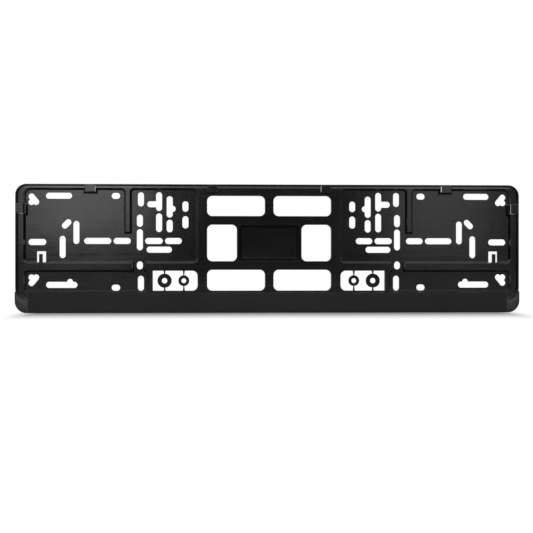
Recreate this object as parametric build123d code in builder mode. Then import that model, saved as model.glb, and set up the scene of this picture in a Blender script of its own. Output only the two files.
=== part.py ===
# Number plate holder for a car: a moulded base that is screwed to the car,
# and a bottom strip that clips on to it and closes the plate's lower edge.
# The holder stands upright, X to the right, Z up, its front facing -Y.
# The origin is the middle of the flat back, which lies against the car.
import os
from math import cos, radians, tan

from build123d import *

# Outline of the base and of the strip below it
base_width = 531.0
base_height = 121.0
base_corner_r = 11.5
strip_overhang = 0.5
strip_drop = 14.0
strip_corner_r = 12.5

# Section of the base, measured forward from the back plane
wall = 2.0
recess_depth = 4.0
recess_draft = 26.0
rim_height = 4.5
rim_edge = 0.3

# Rim and plate ledge, seen from the front
rim_side = 2.4
rim_top = 1.2
rim_bottom = 1.8
rim_lip = 0.8
ledge_side = 5.2
ledge_top = 2.6
ledge_bottom = 5.0
seat_fall = 0.2

# Raised bars between the recessed panels
panel_corner_r = 2.8
outer_corner_r = 5.5
crossbar_z = -15.3
crossbar_width = 7.4
crossbar_gap_x = 137.6
crossbar_gap = 13.9
divider_x = 149.0
divider_width = 4.2
divider_end_z = 17.7
square_panel_x = 75.4
washer_rib = 3.8

# Windows of the middle zone and the bare tray between them
window_bar = 9.1
window_outer_x = 65.6
window_corner = 3.2
top_bar = 11.8
top_window_h = 21.3
low_window_h = 22.0
tray_width = 65.0
tray_side_bar = 1.7
tray_draft = 45.0

# Break-off washers in their own window
washer_bar = 10.1
washer_window_w = 47.1
washer_window_h = 21.0
washer_big_d = 15.0
washer_big_hole = 5.8
washer_small_d = 11.5
washer_small_hole = 5.1
washer_inset = 12.2
washer_pitch = 20.3
web_root = 2.4
web_neck = 0.8

# Screw slots share one width; a slot's travel is the distance between its end centres
slot_width = 6.4
slot_bump = 3.1

# Slots near the side rim, by their distance from the side of the panel floor
corner_inset = 8.2
corner_leg_x = 4.9
corner_leg_z = 5.9
corner_top_drop = 9.8
corner_low_rise = 11.4
side_slot_inset = 11.9
side_slot_z = 6.9
side_slot_travel = 12.3
top_slot_inset = 34.5
top_slot_travel = 21.1
top_row_drop = 6.1
low_slot_inset = 37.4
low_slot_travel = 26.5
low_slot_rise = 6.5
low_bump_shift = 8.7
upright_low_inset = 38.3
upright_low_z = 1.7
upright_low_travel = 17.0
upright_high_inset = 52.7
upright_high_z = 17.0
upright_high_travel = 17.9
slant_inset = 42.5
slant_z = 26.0
slant_travel = 5.1
slant_angle = 135.0

# Slots of the inner columns and rows, by their distance from the middle
row_z = 8.1
row_slots = [(180.9, 22.2), (155.2, 11.7), (121.8, 12.2), (101.3, 11.3)]
oval_x = 161.8
oval_travel = 2.6
oval_low_rise = 3.5
outer_column_x = 136.6
outer_column_slots = [(9.4, 15.8), (29.5, 6.5), (-17.7, 2.0)]
end_column_x = 135.5
end_top_drop = 9.7
end_top_travel = 8.5
end_low_rise = 8.1
end_low_travel = 9.4
tee_column_x = 116.4
tee_column_slots = [(49.7, 13.4), (27.4, 13.3)]
tee_branch_z = 46.9
tee_branch_travel = 9.3
long_slot_x = 116.2
long_slot_z = -1.1
long_slot_travel = 20.3
bump_column_x = 105.2
bump_column_slots = [(44.2, 16.2), (23.9, 6.8)]
bump_z = 42.1
inner_column_x = 88.6
inner_column_slots = [(44.6, 4.7), (27.9, 6.5)]

# Plate lugs on the rim, with a shut-off hole behind each
lug_width = 10.4
lug_reach = 8.4
side_lug_reach = 8.3
lug_thickness = 2.0
lug_outer_x = 188.2
lug_inner_x = 60.0
side_lug_z = 42.1
lug_hole_lap = 1.0
side_hole_lap = 0.5

# Spring tongues that press on the plate's back
tongue_width = 3.8
tongue_length = 9.6
tongue_thickness = 1.8
tongue_hole_w = 9.4
tongue_hole_h = 11.4
tongue_inset = 16.3

# Bottom strip: a channel with a plate groove along its top edge
strip_wall = 1.8
fit_gap = 0.3
strip_height = 21.3
lip_reach = 3.0
lip_height = 2.2
end_length = 12.5
end_fall = 2.2
strip_edge = 0.6
horn_height = 8.4
strip_back_gap = 0.4

# Clips between the two: hooks behind the flange and arms through the ledge
flange_width = 500.0
flange_thickness = 2.0
hook_height = 2.6
hook_width = 12.0
arm_width = 9.0
arm_length = 4.4
arm_barb = 0.6
clip_pitch = 86.0
clip_count = 6

# Levels worked out from the sizes above
ledge_front = wall + recess_depth
rim_front = ledge_front + rim_height
z_top = (base_height + strip_drop) / 2
z_base = z_top - base_height
z_mid = (z_top + z_base) / 2
z_low = z_base - strip_drop
slope_run = recess_depth * tan(radians(recess_draft))
rim_inner_x = base_width / 2 - rim_side
floor_side = rim_inner_x - ledge_side - slope_run
floor_top = z_top - rim_top - ledge_top - slope_run
floor_low = z_base + rim_bottom + ledge_bottom + slope_run
crossbar_low = crossbar_z - crossbar_width

top_window_z = z_top - top_bar - top_window_h / 2
low_window_z = z_base + window_bar + low_window_h / 2
mid_window_top = z_top - top_bar - top_window_h - window_bar
mid_window_low = z_base + window_bar + low_window_h + window_bar
mid_window_h = mid_window_top - mid_window_low
mid_window_z = (mid_window_top + mid_window_low) / 2
wide_window_w = window_outer_x - window_bar / 2
wide_window_x = window_outer_x - wide_window_w / 2
mid_window_w = window_outer_x - tray_width / 2 - tray_side_bar
mid_window_x = window_outer_x - mid_window_w / 2

washer_inner_x = window_outer_x + washer_bar
washer_outer_x = washer_inner_x + washer_window_w
washer_window_x = (washer_inner_x + washer_outer_x) / 2
washer_window_z = z_base + window_bar + washer_window_h / 2

strip_width = base_width + 2 * strip_overhang
strip_front = rim_front + fit_gap + strip_wall
strip_top = z_low + strip_height
strip_inside = strip_front - strip_wall
channel_low = z_low + strip_wall
apron_half = strip_width / 2 - end_length
rib_top = strip_top - lip_height
rib_low = rib_top - strip_wall
flange_back = strip_back_gap + strip_wall + fit_gap
flange_low = channel_low + fit_gap
clip_xs = [(i - (clip_count - 1) / 2) * clip_pitch for i in range(clip_count)]


def back_growth(draft):
    """How far a sloped wall's back stands out from its front, at the same height above its own floor."""
    return wall * (1 / cos(radians(draft)) - tan(radians(draft)))


def span(low_x, high_x, low_z, high_z):
    """Middle and size of a panel given by its edges."""
    return ((low_x + high_x) / 2, (low_z + high_z) / 2, high_x - low_x, high_z - low_z)


# Recessed panels of the right half, by their edges on the panel floor
panel_low = crossbar_z + slope_run
divider_half = divider_width / 2 + slope_run
gap_half = crossbar_gap / 2 - slope_run
gap_overlap = slope_run + panel_corner_r
outer_panel = span(divider_x + divider_half, floor_side, panel_low, floor_top)
square_panel = span(square_panel_x + slope_run, divider_x - divider_half, panel_low, floor_top)
lower_panel = span(washer_outer_x + washer_rib + slope_run, floor_side, floor_low, crossbar_low - slope_run)
# Passage below the divider's end, and the gap in the crossbar
divider_passage = span(
    divider_x - 2 * divider_half, divider_x + 2 * divider_half, panel_low, divider_end_z - slope_run
)
crossbar_passage = span(
    crossbar_gap_x - gap_half,
    crossbar_gap_x + gap_half,
    crossbar_low - slope_run - gap_overlap,
    panel_low + gap_overlap,
)

# Windows of the right half
windows = [
    (wide_window_x, top_window_z, wide_window_w, top_window_h),
    (wide_window_x, low_window_z, wide_window_w, low_window_h),
    (mid_window_x, mid_window_z, mid_window_w, mid_window_h),
]
washer_window = (washer_window_x, washer_window_z, washer_window_w, washer_window_h)

# Blocks that shape the recesses on the front, widening towards the front, with rounded corners
with BuildPart() as recess_front:
    for x, z, width, height in (outer_panel, square_panel, lower_panel):
        with BuildSketch(Plane.XZ.offset(wall)):
            with Locations((x, z)):
                Rectangle(width, height)
            if (x, z) == outer_panel[:2]:
                fillet(vertices().sort_by(Axis.X)[-2:].sort_by(Axis.Y)[-1], outer_corner_r)
                fillet(vertices().sort_by(Axis.X)[:2] + vertices().sort_by(Axis.Y)[:2], panel_corner_r)
            else:
                fillet(vertices(), panel_corner_r)
            mirror(about=Plane.YZ)
        extrude(amount=recess_depth, taper=-recess_draft)
    for x, z, width, height in (divider_passage, crossbar_passage):
        with BuildSketch(Plane.XZ.offset(wall)):
            with Locations((x, z), (-x, z)):
                Rectangle(width, height)
        extrude(amount=recess_depth, taper=-recess_draft)
    # Bare tray between the middle windows
    tray_fall = recess_depth * tan(radians(tray_draft))
    with BuildSketch(Plane.XZ.offset(wall)):
        with Locations((0, mid_window_z)):
            Rectangle(tray_width - 2 * tray_fall, mid_window_h - 2 * tray_fall)
    extrude(amount=recess_depth, taper=-tray_draft)

# The same forms one wall thicker, square at the corners, as they stand out on the back
with BuildPart() as recess_back:
    grow = 2 * back_growth(recess_draft)
    for x, z, width, height in (outer_panel, square_panel, lower_panel, divider_passage, crossbar_passage):
        with BuildSketch(Plane.XZ):
            with Locations((x, z), (-x, z)):
                Rectangle(width + grow, height + grow)
        extrude(amount=recess_depth, taper=-recess_draft)
    tray_grow = 2 * (back_growth(tray_draft) - tray_fall)
    with BuildSketch(Plane.XZ):
        with Locations((0, mid_window_z)):
            Rectangle(tray_width + tray_grow, mid_window_h + tray_grow)
    extrude(amount=recess_depth, taper=-tray_draft)

# Hollow behind the ledge and the raised bars, so that the moulding keeps one wall thickness
with BuildPart() as back_hollow:
    hollow_low = z_base + wall
    with BuildSketch(Plane.XZ):
        with Locations((0, (floor_top + hollow_low) / 2)):
            RectangleRounded(base_width - 2 * wall, floor_top - hollow_low, base_corner_r - wall)
    extrude(amount=recess_depth)
    add(recess_back.part, mode=Mode.SUBTRACT)
    with BuildSketch(Plane.XZ):
        for x, z, width, height in windows + [washer_window]:
            with Locations((x, z), (-x, z)):
                Rectangle(width + 2 * wall, height + 2 * wall)
    extrude(amount=recess_depth, mode=Mode.SUBTRACT)

# Every screw slot of the right half, mirrored to the left
with BuildSketch(Plane.XZ) as screw_slots:
    # Three-lobed corner openings: a slanting slot and a round hole in its outer corner
    corner_x = floor_side - corner_inset
    corner_outer = corner_x + corner_leg_x / 2
    for z, leg in ((floor_top - corner_top_drop, corner_leg_z), (floor_low + corner_low_rise, -corner_leg_z)):
        SlotCenterPoint((corner_x, z), (corner_outer, z + leg / 2), slot_width)
        with Locations((corner_outer, z - leg / 2)):
            Circle(slot_width / 2)
    # Outer panel: side, top, upright and slanting slots
    with Locations((floor_side - side_slot_inset, side_slot_z)):
        SlotCenterToCenter(side_slot_travel, slot_width)
    with Locations((floor_side - top_slot_inset, floor_top - top_row_drop)):
        SlotCenterToCenter(top_slot_travel, slot_width)
    with Locations((floor_side - upright_low_inset, upright_low_z)):
        SlotCenterToCenter(upright_low_travel, slot_width, rotation=90)
    with Locations((floor_side - upright_high_inset, upright_high_z)):
        SlotCenterToCenter(upright_high_travel, slot_width, rotation=90)
    with Locations((floor_side - slant_inset, slant_z)):
        SlotCenterToCenter(slant_travel, slot_width, rotation=slant_angle)
    # Lower panel: long slot with a round bump on its upper edge
    low_slot_x = floor_side - low_slot_inset
    low_slot_z = floor_low + low_slot_rise
    with Locations((low_slot_x, low_slot_z)):
        SlotCenterToCenter(low_slot_travel, slot_width)
    with Locations((low_slot_x - low_bump_shift, low_slot_z + slot_bump)):
        Circle(slot_width / 2)
    # Row along the middle of the panels
    for x, travel in row_slots:
        with Locations((x, row_z)):
            SlotCenterToCenter(travel, slot_width)
    # Short slots at the top and bottom of the outer panel
    with Locations((oval_x, floor_top - top_row_drop), (oval_x, floor_low + oval_low_rise)):
        SlotCenterToCenter(oval_travel, slot_width)
    # Outer column, with its end slots a little nearer to the middle
    for z, travel in outer_column_slots:
        with Locations((outer_column_x, z)):
            SlotCenterToCenter(travel, slot_width, rotation=90)
    with Locations((end_column_x, floor_top - end_top_drop)):
        SlotCenterToCenter(end_top_travel, slot_width, rotation=90)
    with Locations((end_column_x, floor_low + end_low_rise)):
        SlotCenterToCenter(end_low_travel, slot_width, rotation=90)
    # Column with a branch to the outside, and the long slot under the row
    for z, travel in tee_column_slots:
        with Locations((tee_column_x, z)):
            SlotCenterToCenter(travel, slot_width, rotation=90)
    with Locations((tee_column_x + tee_branch_travel / 2, tee_branch_z)):
        SlotCenterToCenter(tee_branch_travel, slot_width)
    with Locations((long_slot_x, long_slot_z)):
        SlotCenterToCenter(long_slot_travel, slot_width)
    # Column with a round bump towards the middle, and the innermost column
    for z, travel in bump_column_slots:
        with Locations((bump_column_x, z)):
            SlotCenterToCenter(travel, slot_width, rotation=90)
    with Locations((bump_column_x - slot_bump, bump_z)):
        Circle(slot_width / 2)
    for z, travel in inner_column_slots:
        with Locations((inner_column_x, z)):
            SlotCenterToCenter(travel, slot_width, rotation=90)
    mirror(about=Plane.YZ)

# Seat along the top of the plate pocket, which falls back towards the rim and runs out in the corners
pocket_top = z_top - rim_top
pocket_low = z_base + rim_bottom
with BuildSketch(Plane.XZ.offset(ledge_front)) as pocket:
    with Locations((0, (pocket_top + pocket_low) / 2)):
        RectangleRounded(2 * rim_inner_x, pocket_top - pocket_low, base_corner_r - rim_side)
with BuildPart() as top_seat:
    with BuildSketch(Plane.YZ):
        with BuildLine():
            Polyline(
                (-ledge_front, pocket_top - ledge_top),
                (-ledge_front, pocket_top),
                (-ledge_front + seat_fall, pocket_top),
                close=True,
            )
        make_face()
    extrude(amount=rim_inner_x, both=True)
    extrude(pocket.sketch, amount=-ledge_front, mode=Mode.INTERSECT)

# Base: rim, plate ledge, recessed panels and raised bars in one moulding
with BuildPart() as base:
    with BuildSketch(Plane.XZ):
        with Locations((0, z_mid)):
            RectangleRounded(base_width, base_height, base_corner_r)
    extrude(amount=rim_front)
    chamfer(faces().sort_by(Axis.Y)[0].edges(), rim_edge)
    # Plate pocket, wider at its mouth, so that the rim thins from its foot to its front edge
    with BuildSketch(Plane.XZ.offset(rim_front)) as mouth:
        with Locations((0, z_mid)):
            RectangleRounded(base_width - 2 * rim_lip, base_height - 2 * rim_lip, base_corner_r - rim_lip)
    loft(sections=[pocket.sketch, mouth.sketch], ruled=True, mode=Mode.SUBTRACT)
    add(top_seat.part, mode=Mode.SUBTRACT)
    # Recessed panels and tray on the front, hollows on the back, windows right through
    add(recess_front.part, mode=Mode.SUBTRACT)
    add(back_hollow.part, mode=Mode.SUBTRACT)
    with BuildSketch(Plane.XZ):
        for x, z, width, height in windows:
            with Locations((x, z), (-x, z)):
                Rectangle(width, height)
        chamfer(vertices(), window_corner)
    extrude(amount=rim_front, mode=Mode.SUBTRACT)
    # A washer window has its corners cut towards the middle and is square on its outer side
    with BuildSketch(Plane.XZ):
        with Locations((washer_window_x, washer_window_z)):
            Rectangle(washer_window_w, washer_window_h)
        chamfer(vertices().sort_by(Axis.X)[:2], window_corner)
        mirror(about=Plane.YZ)
    extrude(amount=rim_front, mode=Mode.SUBTRACT)
    extrude(screw_slots.sketch, amount=ledge_front, mode=Mode.SUBTRACT)

    # Lugs flush with the rim's front edge, four at the top and one on each side
    lug_xs = (lug_outer_x, lug_inner_x, -lug_inner_x, -lug_outer_x)
    lug_top_length = lug_reach - rim_lip / 2
    lug_side_length = side_lug_reach - rim_lip / 2
    side_lug_x = base_width / 2 - side_lug_reach + lug_side_length / 2
    with BuildSketch(Plane.XZ.offset(rim_front - lug_thickness)):
        with Locations(*[(x, z_top - lug_reach + lug_top_length / 2) for x in lug_xs]):
            Rectangle(lug_width, lug_top_length)
        with Locations((side_lug_x, side_lug_z), (-side_lug_x, side_lug_z)):
            Rectangle(lug_side_length, lug_width)
    extrude(amount=lug_thickness)
    # Shut-off holes, as wide as the lugs, that let the tool form the lugs' undersides
    hole_top_length = lug_reach - lug_hole_lap - rim_top
    hole_side_length = side_lug_reach - side_hole_lap - rim_side
    hole_side_x = rim_inner_x - hole_side_length / 2
    with BuildSketch(Plane.XZ):
        with Locations(*[(x, pocket_top - hole_top_length / 2) for x in lug_xs]):
            Rectangle(lug_width, hole_top_length)
        with Locations((hole_side_x, side_lug_z), (-hole_side_x, side_lug_z)):
            Rectangle(hole_side_length, lug_width)
    extrude(amount=rim_front - lug_thickness, mode=Mode.SUBTRACT)

    # Spring tongues rooted in the crossbar, each standing in a hole of the panel floor
    tongue_x = floor_side - tongue_inset
    tongue_hole_z = crossbar_z + slope_run / 2 + tongue_hole_h / 2
    with BuildSketch(Plane.XZ):
        with Locations((tongue_x, tongue_hole_z), (-tongue_x, tongue_hole_z)):
            Rectangle(tongue_hole_w, tongue_hole_h)
    extrude(amount=ledge_front, mode=Mode.SUBTRACT)
    tongue_root = crossbar_z - wall
    tongue_z = (tongue_root + crossbar_z + tongue_length) / 2
    with BuildSketch(Plane.XZ.offset(ledge_front - tongue_thickness)):
        with Locations((tongue_x, tongue_z), (-tongue_x, tongue_z)):
            Rectangle(tongue_width, tongue_length + wall)
    extrude(amount=tongue_thickness)

    # Break-off washers on thin webs, level with the panel floors
    big_x = washer_outer_x - washer_inset
    small_x = big_x - washer_pitch
    window_half = washer_window_h / 2
    with BuildSketch(Plane.XZ):
        for x, outside in ((big_x, washer_big_d), (small_x, washer_small_d)):
            for end in (1, -1):
                edge_z = washer_window_z + end * (window_half + web_neck)
                neck_z = washer_window_z + end * (outside / 2 - web_neck)
                with BuildLine():
                    Polyline(
                        (x - web_root / 2, edge_z),
                        (x - web_neck / 2, neck_z),
                        (x + web_neck / 2, neck_z),
                        (x + web_root / 2, edge_z),
                        close=True,
                    )
                make_face()
            with Locations((x, washer_window_z)):
                Circle(outside / 2)
        with Locations((big_x, washer_window_z)):
            Circle(washer_big_hole / 2, mode=Mode.SUBTRACT)
        with Locations((small_x, washer_window_z)):
            Circle(washer_small_hole / 2, mode=Mode.SUBTRACT)
        mirror(about=Plane.YZ)
    extrude(amount=wall)

    # Flange below the bottom rim, which the strip's hooks reach behind
    flange_top = z_base + rim_bottom / 2
    with BuildSketch(Plane.XZ.offset(flange_back)):
        with Locations((0, (flange_top + flange_low) / 2)):
            Rectangle(flange_width, flange_top - flange_low)
    extrude(amount=flange_thickness)
    # Holes in the bottom ledge for the strip's arms
    with BuildSketch(Plane.XZ.offset(recess_depth)):
        with Locations(*[(x, (rib_top + rib_low) / 2) for x in clip_xs]):
            Rectangle(arm_width + 2 * fit_gap, strip_wall + 2 * fit_gap)
    extrude(amount=wall, mode=Mode.SUBTRACT)

# Bottom strip: front apron over the base's lower rim, closed channel below, sloped end caps
with BuildPart() as strip:
    # Lower channel with rounded corners and horns that wrap the base's own corners
    horn_top = z_base + horn_height
    with BuildSketch(Plane.XZ.offset(strip_back_gap)):
        with Locations((0, (z_low + horn_top) / 2)):
            Rectangle(strip_width, horn_top - z_low)
        fillet(vertices().group_by(Axis.Y)[0], strip_corner_r)
        with Locations((0, z_mid)):
            RectangleRounded(
                base_width + 2 * fit_gap, base_height + 2 * fit_gap, base_corner_r + fit_gap, mode=Mode.SUBTRACT
            )
    extrude(amount=strip_front - strip_back_gap)
    # Apron with the lip and rib of the plate groove, drawn as a section and run along the strip
    lip_back = strip_inside - lip_reach
    rib_back = ledge_front + fit_gap
    apron_low = z_base - strip_wall
    with BuildSketch(Plane.YZ):
        with BuildLine():
            Polyline(
                (-strip_front, strip_top),
                (-lip_back, strip_top),
                (-lip_back, rib_top),
                (-rib_back, rib_top),
                (-rib_back, rib_low),
                (-strip_inside, rib_low),
                (-strip_inside, apron_low),
                (-strip_front, apron_low),
                close=True,
            )
        make_face()
    extrude(amount=apron_half, both=True)
    # Inside of the channel, open to the back
    with BuildSketch(Plane.XZ):
        with Locations((0, (channel_low + rib_low) / 2)):
            Rectangle(2 * (apron_half - strip_wall), rib_low - channel_low)
    extrude(amount=strip_inside, mode=Mode.SUBTRACT)
    # Inside of the end caps
    cap_roof = z_base - fit_gap - strip_wall
    with BuildSketch(Plane.XZ):
        with Locations((0, (channel_low + z_mid) / 2)):
            Rectangle(strip_width - 2 * strip_wall, z_mid - channel_low)
        fillet(vertices().group_by(Axis.Y)[0], strip_corner_r - strip_wall)
        with Locations((0, (cap_roof + z_mid) / 2)):
            Rectangle(strip_width, z_mid - cap_roof, mode=Mode.SUBTRACT)
        with Locations((0, z_low)):
            Rectangle(2 * apron_half, 2 * strip_height, mode=Mode.SUBTRACT)
    extrude(amount=strip_inside - end_fall, mode=Mode.SUBTRACT)
    # The end caps slope back from the flat face to the outer edge
    with BuildSketch(Plane.XY.offset(z_low)):
        with BuildLine():
            Polyline(
                (apron_half, -strip_front),
                (apron_half + 2 * end_length, -strip_front),
                (apron_half + 2 * end_length, -strip_front + 2 * end_fall),
                close=True,
            )
        make_face()
        mirror(about=Plane.YZ)
    extrude(amount=strip_height + horn_height, mode=Mode.SUBTRACT)
    # Broken edges along the top and bottom of the flat face
    chamfer(faces().sort_by(Axis.Y)[0].edges().filter_by(Axis.X), strip_edge)

    # Hooks that stand up behind the base's flange
    with BuildSketch(Plane.XZ.offset(strip_back_gap)):
        with Locations(*[(x, channel_low + (fit_gap + hook_height - strip_wall) / 2) for x in clip_xs]):
            Rectangle(hook_width, fit_gap + hook_height + strip_wall)
    extrude(amount=strip_wall)
    # Arms with barbs that reach through the base's ledge
    ledge_back = ledge_front - wall
    barb_front = ledge_back - fit_gap
    arm_tip = rib_back - arm_length
    for x in clip_xs:
        with BuildSketch(Plane.YZ.offset(x - arm_width / 2)):
            with BuildLine():
                Polyline(
                    (-rib_back - strip_wall, rib_top),
                    (-arm_tip, rib_top),
                    (-arm_tip, rib_low),
                    (-barb_front, rib_low - fit_gap - arm_barb),
                    (-barb_front, rib_low),
                    (-rib_back - strip_wall, rib_low),
                    close=True,
                )
            make_face()
        extrude(amount=arm_width)

os.makedirs("parts", exist_ok=True)
base.part.label = "base_carrier"
export_step(base.part, "parts/base_carrier.step")
strip.part.label = "bottom_strip"
export_step(strip.part, "parts/bottom_strip.step")
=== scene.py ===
"""The looks of a number plate holder: a half-gloss base and the grained strip clipped along its foot."""
import math

import bmesh
import bpy
import numpy as np
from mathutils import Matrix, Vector


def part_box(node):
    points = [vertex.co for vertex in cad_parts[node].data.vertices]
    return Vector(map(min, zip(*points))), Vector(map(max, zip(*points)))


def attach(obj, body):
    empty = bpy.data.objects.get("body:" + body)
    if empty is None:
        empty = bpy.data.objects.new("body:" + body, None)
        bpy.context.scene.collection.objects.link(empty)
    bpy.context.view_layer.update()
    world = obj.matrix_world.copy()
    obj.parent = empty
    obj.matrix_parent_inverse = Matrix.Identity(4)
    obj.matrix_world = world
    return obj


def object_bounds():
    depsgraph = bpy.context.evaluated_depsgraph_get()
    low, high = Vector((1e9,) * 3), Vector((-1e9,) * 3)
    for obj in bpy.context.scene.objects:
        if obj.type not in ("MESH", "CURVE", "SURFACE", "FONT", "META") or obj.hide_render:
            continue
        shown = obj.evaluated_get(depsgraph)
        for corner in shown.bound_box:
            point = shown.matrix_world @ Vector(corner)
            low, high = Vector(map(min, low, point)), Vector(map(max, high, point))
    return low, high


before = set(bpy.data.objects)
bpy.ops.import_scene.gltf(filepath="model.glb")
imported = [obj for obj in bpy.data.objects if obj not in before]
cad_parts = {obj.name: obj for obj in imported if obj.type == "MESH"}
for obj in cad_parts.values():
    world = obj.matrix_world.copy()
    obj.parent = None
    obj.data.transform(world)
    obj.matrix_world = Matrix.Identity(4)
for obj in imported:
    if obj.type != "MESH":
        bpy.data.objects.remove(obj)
cad_low, cad_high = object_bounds()
scene = bpy.context.scene

# Base carrier
# The slotted back plate that is screwed to the car: one injection moulding in black ABS about 2 mm thick.
# The mould is polished, so the plastic is half glossy, with faint clouds where the melt cooled unevenly.
base_edge_round = 0.0012
panel_edge_round = 0.0005
panel_wall_round = 0.0090
panel_wall_lean = 0.44
panel_wall_lean_spread = 0.1
open_lean = 0.3
ledge_level = -0.006
ledge_slack = 0.0002
foot_level = -0.040
foot_dullness = 0.8
tray_half_width = 0.0342
tray_middle = 0.0060
tray_half_height = 0.0196
tray_sharpness = 0.6
edge_samples = 12
plastic_ior = 1.5
base_black = 0.0036
base_black_pale = 0.0050
base_blueness = 1.03
base_roughness = 0.16
base_roughness_spread = 0.20
noise_middle = 0.5
cloud_size = 0.045
cloud_detail = 4.0
flow_length = 0.09
flow_width = 0.011
flow_detail = 3.0
flow_distortion = 0.4
speckle_size = 0.0016
speckle_detail = 2.0
tone_shares = {"clouds": 0.6, "speckle": 0.4}
gloss_shares = {"clouds": 0.45, "flow": 0.3, "speckle": 0.25}
ripple_shares = {"clouds": 0.62, "flow": 0.3, "speckle": 0.08}
ripple_depth = 0.0007
ripple_strength = 0.35


class Wire:
    """An output socket of a node tree. Sums on it add Math nodes, and node() adds any other node."""

    def __init__(self, socket):
        self.socket = socket
        self.tree = socket.id_data

    def node(self, kind, settings, sockets, output=0):
        """Adds a node: its settings first, then the values or links of its sockets. Gives one output."""
        made = self.tree.nodes.new(kind)
        for key, value in settings.items():
            setattr(made, key, value)
        for key, value in sockets.items():
            if isinstance(value, Wire):
                self.tree.links.new(value.socket, made.inputs[key])
            else:
                made.inputs[key].default_value = value
        return Wire(made.outputs[output])

    def output(self, name):
        """Another output of the node that this wire leaves."""
        return Wire(self.socket.node.outputs[name])

    def parts(self):
        """The X, Y and Z of a vector."""
        first = self.node("ShaderNodeSeparateXYZ", {}, {"Vector": self}, "X")
        return first, first.output("Y"), first.output("Z")

    def maths(self, operation, *values):
        return self.node("ShaderNodeMath", {"operation": operation}, dict(enumerate(values)))

    def __add__(self, other):
        return self.maths("ADD", self, other)

    def __radd__(self, other):
        return self.maths("ADD", other, self)

    def __sub__(self, other):
        return self.maths("SUBTRACT", self, other)

    def __rsub__(self, other):
        return self.maths("SUBTRACT", other, self)

    def __mul__(self, other):
        return self.maths("MULTIPLY", self, other)

    def __rmul__(self, other):
        return self.maths("MULTIPLY", other, self)

    def __gt__(self, level):
        return self.maths("GREATER_THAN", self, level)

    def __abs__(self):
        return self.maths("ABSOLUTE", self)

    def sign(self):
        return self.maths("SIGN", self)

    def root(self):
        return self.maths("SQRT", self)

    def near(self, middle, reach):
        return self.maths("COMPARE", self, middle, reach)

    def larger(self, other):
        return self.maths("MAXIMUM", self, other)


def blend(one, two, share):
    """The first value where share is 0 and the second where it is 1."""
    return one + (two - one) * share


def mixture(shares, layers):
    """The named layers added up, each times its share."""
    weighed = [layers[name] * share for name, share in shares.items()]
    total = weighed[0]
    for layer in weighed[1:]:
        total = total + layer
    return total


def noise(place, scale, detail, distortion=0.0):
    """Soft random spots between 0 and 1, with scale of them to a unit of the place that is given."""
    sockets = {"Vector": place, "Scale": scale, "Detail": detail, "Distortion": distortion}
    return place.node("ShaderNodeTexNoise", {}, sockets)


def grey_colour(grey, blueness):
    """A grey with a little more or less blue in it."""
    return grey.node("ShaderNodeCombineColor", {}, {"Red": grey, "Green": grey, "Blue": grey * blueness})


def moulded_normal(relief, depth, strength, rounding):
    """The normal of a moulded surface: edges rounded by a radius, with a fine relief on top."""
    edge = relief.node("ShaderNodeBevel", {"samples": edge_samples}, {"Radius": rounding})
    sockets = {"Strength": strength, "Distance": depth, "Height": relief, "Normal": edge}
    return relief.node("ShaderNodeBump", {}, sockets)


def finish_of(make):
    """A new material, named as the function that makes its shader from a wire of Object coordinates."""
    finish = bpy.data.materials.new(make.__name__)
    finish.use_nodes = True
    tree = finish.node_tree
    tree.nodes.clear()
    end = tree.nodes.new("ShaderNodeOutputMaterial")
    place = Wire(tree.nodes.new("ShaderNodeTexCoord").outputs["Object"])
    tree.links.new(make(place).socket, end.inputs["Surface"])
    return finish


def base_zones(place):
    """Masks of 0 and 1 over the base, from a point's place and the lean of its face.

    A drafted panel wall is known by how far its face leans to the front. Above the foot it is an open wall
    where it faces up or outwards, and lower down the foot wall. Panels take in the ledge and all behind it.
    """
    x, y, z = place.parts()
    lean_x, lean_y, lean_z = place.node("ShaderNodeNewGeometry", {}, {}, "True Normal").parts()
    outwards = lean_x * x.sign()
    drafted = lean_y.near(-panel_wall_lean, panel_wall_lean_spread)
    open_side = lean_z.larger(outwards) > open_lean
    above_foot = z > foot_level
    return {
        "open_wall": drafted * open_side * above_foot,
        "foot_wall": drafted * (1 - above_foot),
        "panels": y > ledge_level - ledge_slack,
        "tray": x.near(0.0, tray_half_width) * z.near(tray_middle, tray_half_height),
    }


def half_gloss_black(place):
    """Black plastic from a polished mould: clouds and flow marks in its gloss, a speckle, a faint ripple.

    Open walls are shaded with a wide rounding and catch the light, and the tray's edges are the sharpest.
    """
    stretched = place.node(
        "ShaderNodeMapping",
        {"vector_type": "POINT"},
        {"Vector": place, "Scale": (1 / flow_length, 1 / flow_width, 1 / flow_width)},
    )
    layers = {
        "clouds": noise(place, 1 / cloud_size, cloud_detail),
        "flow": noise(stretched, 1.0, flow_detail, flow_distortion),
        "speckle": noise(place, 1 / speckle_size, speckle_detail),
    }
    zones = base_zones(place)
    grey = blend(base_black, base_black_pale, mixture(tone_shares, layers))
    roughness = base_roughness + base_roughness_spread * (mixture(gloss_shares, layers) - noise_middle)
    roughness = roughness + foot_dullness * zones["foot_wall"]
    panel_round = blend(panel_edge_round, panel_wall_round, zones["open_wall"])
    rounding = blend(base_edge_round, panel_round, zones["panels"]) * (1 - tray_sharpness * zones["tray"])
    ripple = moulded_normal(mixture(ripple_shares, layers), ripple_depth, ripple_strength, rounding)
    return place.node(
        "ShaderNodeBsdfPrincipled",
        {},
        {
            "Base Color": grey_colour(grey, base_blueness),
            "Roughness": roughness,
            "Normal": ripple,
            "IOR": plastic_ior,
        },
    )


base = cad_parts["base_carrier"]
base.data.materials.clear()
base.data.materials.append(finish_of(half_gloss_black))

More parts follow.
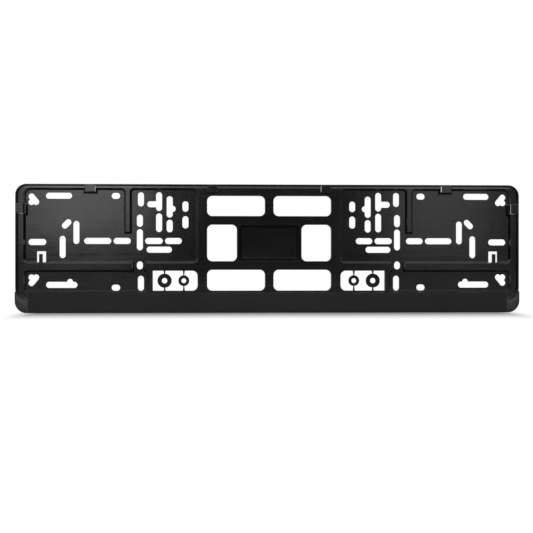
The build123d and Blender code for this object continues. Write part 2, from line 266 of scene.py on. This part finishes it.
# Lug collars
# Low walls, moulded with the base, that carry the plate ledge out round the holes behind the outer lugs.
# There are four: under the two outer lugs of the top rim and under the lug of each side rim.
top_lug_x = 0.1882
side_lug_z = 0.0421
lug_half = 0.0052
floor_level = -0.0019
collar_slope = 0.0019
collar_side = 0.0004
top_collar = {"ledge": 0.0038, "hole": 0.0074, "rim": 0.0004}
side_collar = {"ledge": 0.0076, "hole": 0.0078, "rim": 0.0022}


def collar_wall(sizes):
    """A four-sided wall carried along a U round a hole: each row of the grid is one corner of its section.

    A corner stands off from the hole by its own distance, sideways at the U's legs and inwards at its foot.
    Gives the places along the rim, the distances in from the outer edge and the levels, as grids of 4 by 4.
    """
    legs = np.array([-1, -1, 1, 1])
    at_foot = np.array([False, True, True, False])
    sideways = np.array([0, 0, collar_side, collar_side + collar_slope])[:, None]
    inwards = np.array([0, 0, sizes["rim"], sizes["rim"] + collar_slope])[:, None]
    levels = np.array([floor_level, ledge_level, ledge_level, floor_level])[:, None]
    along = legs * (lug_half + sideways)
    reach = np.where(at_foot, sizes["hole"] + inwards, sizes["ledge"])
    return along, reach, np.broadcast_to(levels, along.shape)


def moulded_on(name, walls):
    """Walls on the base in its own plastic: each is a grid of four rows, the corners of its section.

    A strip of faces runs from each row to the next, the last one to the first, and a face closes each end.
    """
    count, rows, columns = walls.shape[:3]
    row = columns * np.arange(rows)[:, None]
    next_row = np.roll(row, -1, axis=0)
    step = np.arange(columns - 1)
    strips = np.stack([row + step, row + step + 1, next_row + step + 1, next_row + step], -1)
    ends = np.stack([row[:, 0], row[::-1, 0] + columns - 1])
    one_wall = np.concatenate([strips.reshape(-1, 4), ends])
    faces = one_wall + rows * columns * np.arange(count)[:, None, None]
    mesh = bpy.data.meshes.new(name)
    mesh.from_pydata(walls.reshape(-1, 3).tolist(), [], faces.reshape(-1, 4).tolist())
    turned = bmesh.new()
    turned.from_mesh(mesh)
    bmesh.ops.recalc_face_normals(turned, faces=turned.faces)
    turned.to_mesh(mesh)
    turned.free()
    piece = bpy.data.objects.new(name, mesh)
    piece.data.materials.append(base.data.materials[0])
    scene.collection.objects.link(piece)
    return piece


base_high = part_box("base_carrier")[1]
top_along, top_reach, top_level = collar_wall(top_collar)
side_along, side_reach, side_level = collar_wall(side_collar)
collar_grids = []
for side in (-1, 1):
    top_x = side * top_lug_x + top_along
    side_x = side * (base_high.x - side_reach)
    collar_grids.append(np.stack([top_x, top_level, base_high.z - top_reach], -1))
    collar_grids.append(np.stack([side_x, side_level, side_lug_z + side_along], -1))
collars = moulded_on("lug_collars", np.stack(collar_grids))
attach(collars, "root")

# Window corners
# The rounded corners of the open windows, moulded with the base as the bars between the windows are.
# Each one lies against a straight cut across the corner and touches its middle.
corner_cut = 0.0032
corner_radius = corner_cut / (2 - math.sqrt(2))
corner_steps = 8
corner_tuck = 0.0003
corner_sink = 0.00005
top_window = {"across": (0.00455, 0.0656), "up": (0.0344, 0.0557)}
tray_window = {"across": (0.0342, 0.0656), "up": (-0.0133, 0.0253)}
low_window = {"across": (0.00455, 0.0656), "up": (-0.0444, -0.0224)}
# A washer window is square on its outer side, so only its inner edge is given
washer_window = {"across": (0.0757,), "up": (-0.0444, -0.0234)}


def corner_walls(places, ways):
    """Fillets in window corners, as grids of 4 rows: the section's corners carried along a quarter circle.

    Two rows follow the circle that touches both edges, at the front and the back, and two run outside the
    edges, inside the base's wall. places holds each corner's x and z, and ways the signs into the window.
    """
    step = np.arange(corner_steps + 1)
    turn = step * (math.pi / 2) / corner_steps
    arc = corner_radius * (1 - np.stack([np.sin(turn), np.cos(turn)], -1))
    beside = np.where(step < corner_steps / 2, arc[:, 0], -corner_tuck)
    below = np.where(step > corner_steps / 2, arc[:, 1], -corner_tuck)
    outside = np.stack([beside, below], -1)
    section = np.stack([arc, arc, outside, outside])
    flat = section * ways[:, None, None, :] + places[:, None, None, :]
    front = ledge_level + corner_sink
    back = -corner_sink
    levels = np.array([front, back, back, front])[None, :, None]
    return np.stack([flat[..., 0], np.broadcast_to(levels, flat.shape[:3]), flat[..., 1]], -1)


corner_places = []
corner_ways = []
for side in (-1, 1):
    for window in (top_window, tray_window, low_window, washer_window):
        for x, way_x in zip(window["across"], (1, -1)):
            for z, way_z in zip(window["up"], (1, -1)):
                corner_places.append((side * x, z))
                corner_ways.append((side * way_x, way_z))
corners = moulded_on("window_corners", corner_walls(np.array(corner_places), np.array(corner_ways)))
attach(corners, "root")

# Bottom strip
# The cover that snaps over the foot of the base and traps the plate: a second moulding in black ABS.
# Its mould is spark-eroded, so the face has a fine dull grain that hides finger marks.
strip_edge_round = 0.0010
strip_black = 0.0045
strip_black_pale = 0.0095
strip_blueness = 1.02
strip_roughness = 0.58
strip_roughness_spread = 1.0
strip_specular = 0.22
strip_cloud_detail = 3.0
grain_size = 0.0007
grain_depth = 0.00006
grain_strength = 0.6
pit_smoothness = 0.6
fine_per_pit = 1.8
fine_detail = 2.0
grain_shares = {"pits": 0.6, "fine": 0.4}
strip_tone_shares = {"grain": 0.5, "clouds": 0.5}
strip_gloss_shares = {"clouds": 0.8, "fine": 0.2}
cap_start = 0.252
cap_round = 0.008
# The caps' paler grey is painted light, standing in for the light that their sloped ends catch
cap_painted_light_grey = 0.030
cap_roughness = 0.32


def grained_black(place):
    """Black plastic from a spark-eroded mould: small round pits side by side over a softer unevenness.

    The end caps are smoother than the face and are shaded with a wide rounding.
    Their paler grey is painted light, for the light that their sloped ends catch.
    """
    pits = place.node(
        "ShaderNodeTexVoronoi",
        {"feature": "SMOOTH_F1"},
        {"Vector": place, "Scale": 1 / grain_size, "Smoothness": pit_smoothness},
    )
    layers = {
        "pits": pits,
        "fine": noise(place, fine_per_pit / grain_size, fine_detail),
        "clouds": noise(place, 1 / cloud_size, strip_cloud_detail),
    }
    layers["grain"] = mixture(grain_shares, layers)
    on_cap = abs(place.parts()[0]) > cap_start
    face_grey = blend(strip_black, strip_black_pale, mixture(strip_tone_shares, layers))
    # Painted light: the caps get a paler grey for the light that their sloped ends catch
    grey = blend(face_grey, cap_painted_light_grey * (noise_middle + layers["fine"]), on_cap)
    unevenness = mixture(strip_gloss_shares, layers) - noise_middle
    face_roughness = strip_roughness + strip_roughness_spread * unevenness
    rounding = blend(strip_edge_round, cap_round, on_cap)
    return place.node(
        "ShaderNodeBsdfPrincipled",
        {},
        {
            "Base Color": grey_colour(grey, strip_blueness),
            "Roughness": blend(face_roughness, cap_roughness, on_cap),
            "Normal": moulded_normal(layers["grain"], grain_depth, grain_strength, rounding),
            "IOR": plastic_ior,
            "Specular IOR Level": strip_specular,
        },
    )


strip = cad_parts["bottom_strip"]
strip.data.materials.clear()
strip.data.materials.append(finish_of(grained_black))

# Table
# A pale table top that the holder stands on, a matt board.
# At the holder's foot a painted shadow darkens it on top of the lamps' shade, fading smoothly to plain white
# in front, behind and past the ends.
table_reach = 0.9
# The grey that the camera sees at the holder's foot is a painted shadow, fading out to white by white_reach
painted_shadow_grey = 0.28
table_white_unseen = 0.5
white_reach = 0.165
end_reach = 0.002
end_fade = 0.030


def pale_table(place):
    """White matt board: lit by the lamps, with a painted shadow at the holder's foot, pure white for the
    camera further out.
    """
    x, away = place.parts()[:2]
    half_width = (cad_high.x - cad_low.x) / 2
    past_end = (abs(x) - (half_width + end_reach - end_fade)).larger(0.0)
    end_away = past_end * (white_reach / end_fade)
    distance = (end_away * end_away + away * away).root()
    faded = place.node(
        "ShaderNodeMapRange",
        {"interpolation_type": "SMOOTHSTEP"},
        {"Value": distance, "From Min": 0.0, "From Max": white_reach, "To Min": 0.0, "To Max": 1.0},
    )
    seen = place.node("ShaderNodeLightPath", {}, {}, "Is Camera Ray")
    # The camera sees the darker painted-shadow grey, and other rays see the paler board
    grey = blend(table_white_unseen, painted_shadow_grey, seen)
    board = place.node("ShaderNodeBsdfDiffuse", {}, {"Color": grey_colour(grey, 1.0)})
    white = place.node("ShaderNodeEmission", {}, {"Color": (1, 1, 1, 1), "Strength": 1.0})
    return place.node("ShaderNodeMixShader", {}, {0: faded * seen, 1: board, 2: white})


table_corners = np.array([(-1, -1), (1, -1), (1, 1), (-1, 1)]) * table_reach
table_mesh = bpy.data.meshes.new("table_top")
table_mesh.from_pydata([(x, y, cad_low.z) for x, y in table_corners], [], [(0, 1, 2, 3)])
table = bpy.data.objects.new("table_top", table_mesh)
table.data.materials.append(finish_of(pale_table))
scene.collection.objects.link(table)

# Studio
# A white wall behind the holder and a dim room on the camera's side, lit by eight soft boxes.
# The camera and anything glossy see the wall, while plain bounced light stays low so that black stays black.
wall_white = 1.0
wall_from = -0.1
wall_full = 0.5
room_dark = 0.03
bounce_level = 0.22
holder = (0, 0, 0)
left_spot = (-0.415, 0, 0.555)
right_spot = (0.51, 0, 0.52)
soft_boxes = {
    "soft_box_left": {"at": (-0.415, -1.6, 0.555), "aim": left_spot, "size": (0.34, 1.02), "power": 2.6},
    "soft_box_right": {"at": (0.51, -1.6, 0.52), "aim": right_spot, "size": (0.29, 1.02), "power": 1.0},
    "soft_box_front": {"at": (0.0, -1.15, 0.80), "aim": holder, "size": (2.2, 1.20), "power": 13.0},
    "soft_box_high": {"at": (0.0, -0.48, 1.20), "aim": holder, "size": (2.2, 0.55), "power": 6.5},
    "soft_box_left_side": {"at": (-1.05, -1.35, 0.35), "aim": holder, "size": (0.6, 0.7), "power": 2.8},
    "soft_box_right_side": {"at": (1.15, -1.35, 0.35), "aim": holder, "size": (0.6, 0.7), "power": 1.7},
    "soft_box_above": {"at": (0.0, 0.60, 1.00), "aim": holder, "size": (1.4, 0.6), "power": 3.0},
    "soft_box_behind": {"at": (0.5, 1.20, 0.80), "aim": holder, "size": (0.8, 0.6), "power": 6.0},
}

world = bpy.data.worlds.new("studio")
world.use_nodes = True
world.node_tree.nodes.clear()
scene.world = world
heading = Wire(world.node_tree.nodes.new("ShaderNodeTexCoord").outputs["Generated"])
seen = heading.node("ShaderNodeLightPath", {}, {}, "Is Camera Ray")
glossy = seen.output("Is Glossy Ray")
through = seen.output("Is Transmission Ray")
towards_wall = heading.parts()[1]
wall = heading.node(
    "ShaderNodeMapRange",
    {"interpolation_type": "SMOOTHSTEP"},
    {
        "Value": towards_wall,
        "From Min": wall_from,
        "From Max": wall_full,
        "To Min": room_dark,
        "To Max": wall_white,
    },
)
strength = blend(blend(bounce_level, wall, glossy), wall_white, seen.larger(through))
sky = heading.node("ShaderNodeBackground", {}, {"Color": (1, 1, 1, 1), "Strength": strength})
world_end = world.node_tree.nodes.new("ShaderNodeOutputWorld")
world.node_tree.links.new(sky.socket, world_end.inputs["Surface"])

for name, box in soft_boxes.items():
    lamp = bpy.data.lights.new(name, "AREA")
    lamp.shape = "RECTANGLE"
    lamp.size, lamp.size_y = box["size"]
    lamp.energy = box["power"]
    light = bpy.data.objects.new(name, lamp)
    light.location = box["at"]
    light.rotation_euler = (Vector(box["aim"]) - Vector(box["at"])).to_track_quat("-Z", "Y").to_euler()
    light.visible_camera = False
    scene.collection.objects.link(light)

# Camera
# A long lens level with the lower slots and a little to the left of the middle.
# It is turned to the holder's middle.
camera_distance = 1.1
camera_swing = math.radians(2.3)
camera_aim = Vector((-0.0031, -0.0105, -0.0189))
frame_pixels = 533
focal_pixels = 1044.7
sensor_width = 36.0
nearest_seen = 0.01

lens = bpy.data.cameras.new("camera")
lens.sensor_fit = "HORIZONTAL"
lens.sensor_width = sensor_width
lens.lens = sensor_width * focal_pixels / frame_pixels
lens.clip_start = nearest_seen
camera = bpy.data.objects.new("camera", lens)
back = Vector((-math.sin(camera_swing), -math.cos(camera_swing), 0))
camera.location = camera_aim + back * camera_distance
camera.rotation_euler = (-back).to_track_quat("-Z", "Y").to_euler()
scene.collection.objects.link(camera)
scene.camera = camera

scene.view_settings.view_transform = "Standard"
bpy.context.view_layer.update()
